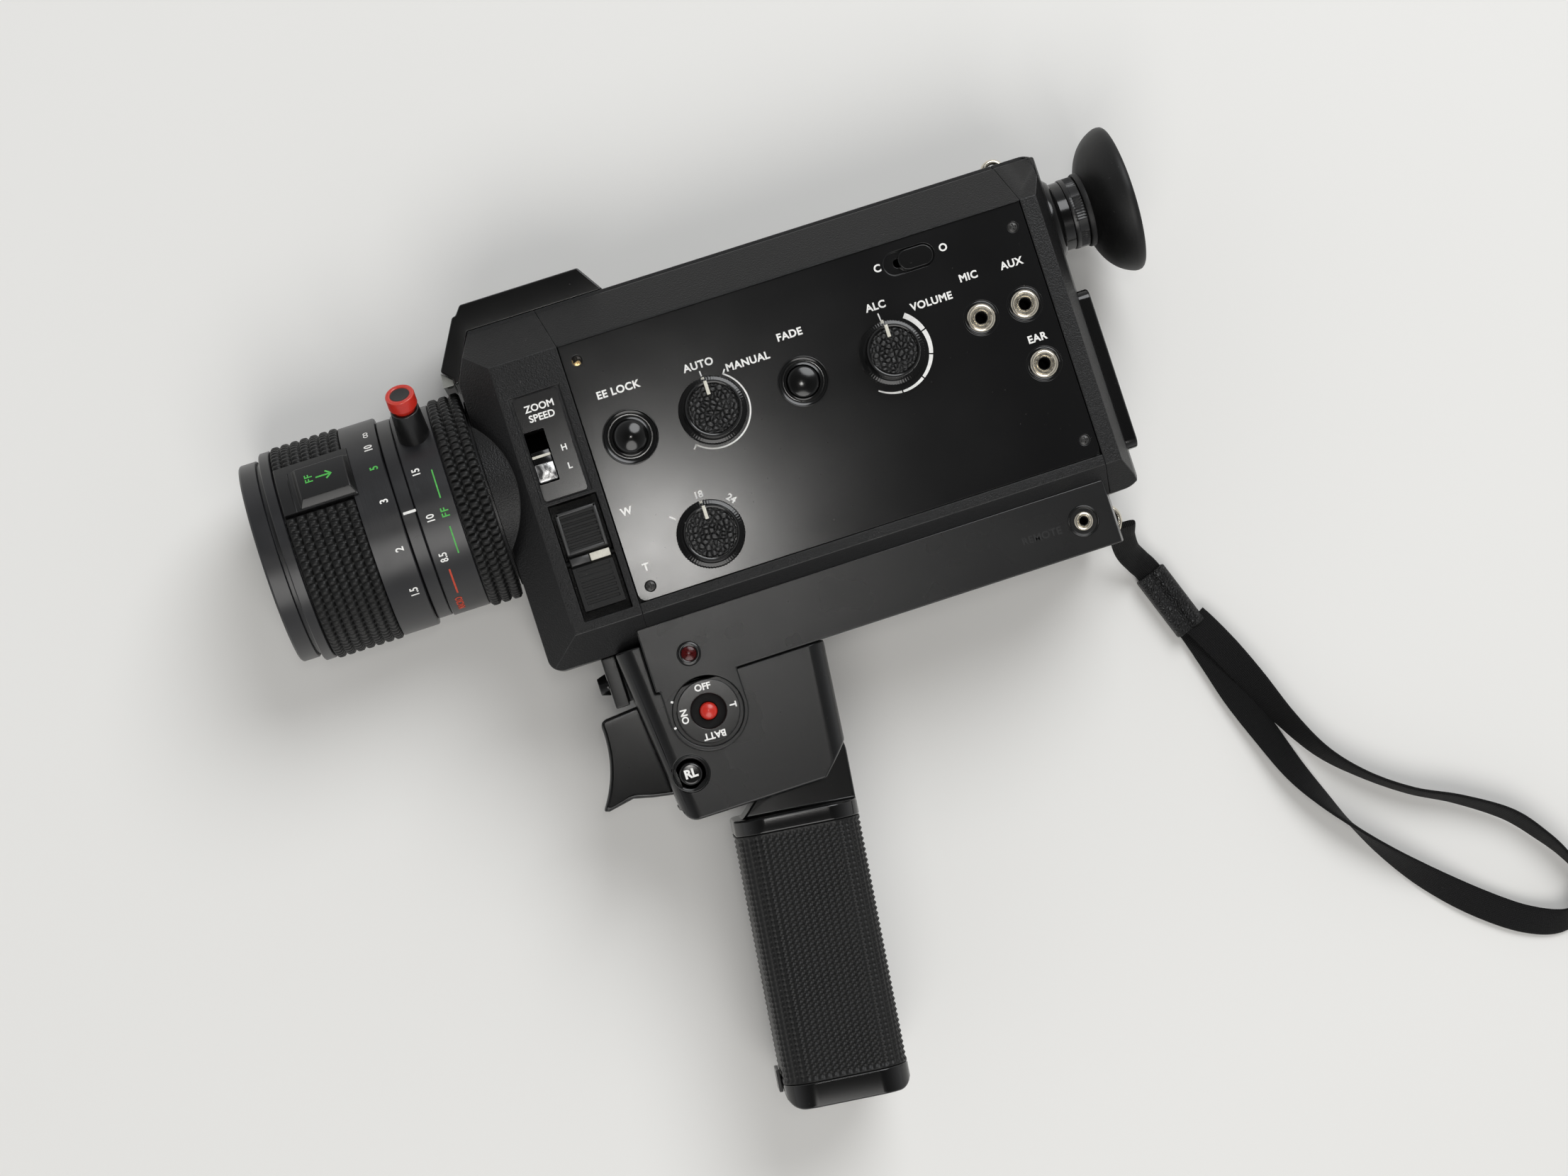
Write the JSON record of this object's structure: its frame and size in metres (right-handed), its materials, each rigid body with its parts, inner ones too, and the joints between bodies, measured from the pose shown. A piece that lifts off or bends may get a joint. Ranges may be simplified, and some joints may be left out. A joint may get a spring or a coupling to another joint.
{
  "type": "cine_camera",
  "caption": "Sound cine camera lying on its side, with a zoom lens, viewfinder, folding grip with trigger, film door and wrist strap",
  "frame": {"origin": "under the middle of the camera, on the surface it lies on", "axes": "+X to the eyepiece, +Y to the camera's top, +Z out of the camera's left side"},
  "size_m": [0.3456, 0.2775, 0.0694],
  "materials": {
    "casing": "black satin paint with a fine grain",
    "black_plastic": "satin black moulding",
    "gloss_black": "polished black",
    "lens_black": "satin black anodised",
    "rubber": "moulded black rubber",
    "bright_metal": "bright plated",
    "steel": "turned steel",
    "brass": "turned brass",
    "red_plastic": "glossy red",
    "optical_glass": "coated, polished",
    "board": "green laminate",
    "cell": "printed steel jacket",
    "webbing": "black woven tape"
  },
  "bodies": {
    "camera": {"main_casing": "casing", "front_housing": "casing", "control_plate": "casing", "finder_hump": "gloss_black", "clear_windows": "optical_glass", "rear_cover": "casing", "counter_panel": "black_plastic", "base_rail": "casing", "handle_housing": "casing", "handle_cover": "casing", "case_screws": "bright_metal", "jack_sockets": "bright_metal", "status_lamp": "red_plastic", "lens_barrel": "lens_black", "rear_lens_group": "optical_glass", "film_gate": "steel", "motors": "steel", "circuit_board": "board", "finder_tube": "black_plastic", "eyepiece_collar": "lens_black", "eyepiece_lens": "optical_glass", "tripod_bush": "brass", "strap_lugs": "bright_metal", "strap_keeper": "rubber", "wrist_strap": "webbing", "hinge_pins": "steel"},
    "focus": {"front_ring": "lens_black", "focus_ring": "lens_black", "focus_rubber": "rubber", "front_lens": "optical_glass"},
    "infinity_key": {"ff_key": "black_plastic"},
    "zoom": {"zoom_ring": "lens_black", "zoom_rubber": "rubber", "zoom_lever": "black_plastic"},
    "macro": {"macro_button": "red_plastic"},
    "variator": {"variator_cell": "lens_black"},
    "rocker": {"zoom_rocker": "black_plastic"},
    "speed_slider": {"zoom_speed_slider": "bright_metal"},
    "exposure_lock": {"exposure_lock_button": "black_plastic"},
    "exposure": {"exposure_knob": "black_plastic"},
    "fade": {"fade_button": "black_plastic"},
    "volume": {"volume_knob": "black_plastic"},
    "frame_rate": {"frame_rate_knob": "black_plastic"},
    "shutter_lever": {"finder_shutter": "black_plastic"},
    "dial": {"mode_dial": "black_plastic"},
    "dial_red": {"dial_button": "red_plastic"},
    "run_lock": {"run_lock_button": "black_plastic"},
    "trigger_body": {"trigger": "gloss_black"},
    "release": {"release_knob": "bright_metal"},
    "dioptre": {"dioptre_ring": "lens_black", "eyecup": "rubber"},
    "door": {"film_door": "casing"},
    "latch": {"door_latch": "black_plastic"},
    "grip": {"grip_core": "black_plastic", "grip_sleeve": "rubber", "batteries": "cell"},
    "battery_door": {"battery_cover": "black_plastic"},
    "battery_catch": {"battery_latch": "black_plastic"},
    "shutter": {"shutter_disc": "steel"},
    "pinion": {"drive_pinion": "brass"}
  },
  "joints": [
    {"name": "focus_turn", "type": "hinge", "parent": "camera", "child": "focus", "pos_m": [-0.112, 0.07256, 0.032], "axis": [1, 0, 0], "range_deg": [-60, 55]},
    {"name": "infinity_key_slide", "type": "slide", "parent": "focus", "child": "infinity_key", "axis": [1, 0, 0], "range_m": [0, 0.0025]},
    {"name": "zoom_turn", "type": "hinge", "parent": "camera", "child": "zoom", "pos_m": [-0.079, 0.07256, 0.032], "axis": [-1, 0, 0], "range_deg": [-85, 62]},
    {"name": "macro_press", "type": "slide", "parent": "zoom", "child": "macro", "axis": [0, -0.7071, -0.7071], "range_m": [0, 0.001], "stiffness_N_per_m": 150},
    {"name": "variator_slide", "type": "slide", "parent": "camera", "child": "variator", "axis": [1, 0, 0], "range_m": [-0.0095, 0.0125]},
    {"name": "rocker_tilt", "type": "hinge", "parent": "camera", "child": "rocker", "pos_m": [-0.047, 0.04526, 0.0575], "axis": [1, 0, 0], "range_deg": [-4, 4], "stiffness_Nm_per_rad": 0.1},
    {"name": "speed_slide", "type": "slide", "parent": "camera", "child": "speed_slider", "axis": [0, 1, 0], "range_m": [0, 0.0054]},
    {"name": "exposure_lock_press", "type": "slide", "parent": "camera", "child": "exposure_lock", "axis": [0, 0, -1], "range_m": [0, 0.0015], "stiffness_N_per_m": 150},
    {"name": "exposure_turn", "type": "hinge", "parent": "camera", "child": "exposure", "pos_m": [-0.0011, 0.07406, 0.062], "axis": [0, 0, 1], "range_deg": [-135, 135]},
    {"name": "fade_press", "type": "slide", "parent": "camera", "child": "fade", "axis": [0, 0, -1], "range_m": [0, 0.0015], "stiffness_N_per_m": 150},
    {"name": "volume_turn", "type": "hinge", "parent": "camera", "child": "volume", "pos_m": [0.0522, 0.07406, 0.062], "axis": [0, 0, 1], "range_deg": [-135, 135]},
    {"name": "frame_rate_turn", "type": "hinge", "parent": "camera", "child": "frame_rate", "pos_m": [-0.0123, 0.04106, 0.062], "axis": [0, 0, 1], "range_deg": [-48, 50]},
    {"name": "finder_shutter_slide", "type": "slide", "parent": "camera", "child": "shutter_lever", "axis": [1, 0, 0], "range_m": [-0.004, 0]},
    {"name": "dial_turn", "type": "hinge", "parent": "camera", "child": "dial", "pos_m": [-0.0282, -0.00624, 0.058], "axis": [0, 0, 1], "range_deg": [-90, 90]},
    {"name": "dial_button_press", "type": "slide", "parent": "dial", "child": "dial_red", "axis": [0, 0, -1], "range_m": [0, 0.001], "stiffness_N_per_m": 150},
    {"name": "run_lock_press", "type": "slide", "parent": "camera", "child": "run_lock", "axis": [0, 0, -1], "range_m": [0, 0.0012], "stiffness_N_per_m": 150},
    {"name": "trigger_pull", "type": "hinge", "parent": "camera", "child": "trigger_body", "pos_m": [-0.043, -0.00244, 0.032], "axis": [0, 0, 1], "range_deg": [0, 8], "stiffness_Nm_per_rad": 0.3},
    {"name": "release_turn", "type": "hinge", "parent": "camera", "child": "release", "pos_m": [-0.054, 0.00946, 0.032], "axis": [1, 0, 0], "range_deg": [-90, 90]},
    {"name": "dioptre_turn", "type": "hinge", "parent": "camera", "child": "dioptre", "pos_m": [0.121, 0.09916, 0.032], "axis": [1, 0, 0], "range_deg": [-60, 60]},
    {"name": "film_door_swing", "type": "hinge", "parent": "camera", "child": "door", "pos_m": [0.0673, 0.05456, 0.002], "axis": [0, -1, 0], "range_deg": [0, 90]},
    {"name": "door_latch_slide", "type": "slide", "parent": "door", "child": "latch", "axis": [1, 0, 0], "range_m": [0, 0.003]},
    {"name": "grip_fold", "type": "hinge", "parent": "camera", "child": "grip", "pos_m": [-0.00202, -0.02864, 0.032], "axis": [0, 0, 1], "range_deg": [0, 97]},
    {"name": "battery_cover_swing", "type": "hinge", "parent": "grip", "child": "battery_door", "pos_m": [-0.00447, -0.11916, 0.032], "axis": [0, 0, 1], "range_deg": [0, 100]},
    {"name": "battery_latch_slide", "type": "slide", "parent": "battery_door", "child": "battery_catch", "axis": [-0.1219, -0.9925, 0], "range_m": [0, 0.0012]},
    {"name": "shutter_spin", "type": "hinge", "parent": "camera", "child": "shutter", "pos_m": [-0.03, 0.05656, 0.032], "axis": [1, 0, 0], "continuous": true},
    {"name": "pinion_spin", "type": "hinge", "parent": "camera", "child": "pinion", "pos_m": [-0.033, 0.03856, 0.032], "axis": [1, 0, 0], "continuous": true}
  ],
  "couplings": [
    {"joint": "variator_slide", "follows": "zoom_turn", "m_per_rad": -0.008},
    {"joint": "pinion_spin", "follows": "shutter_spin", "ratio": -2.6}
  ]
}
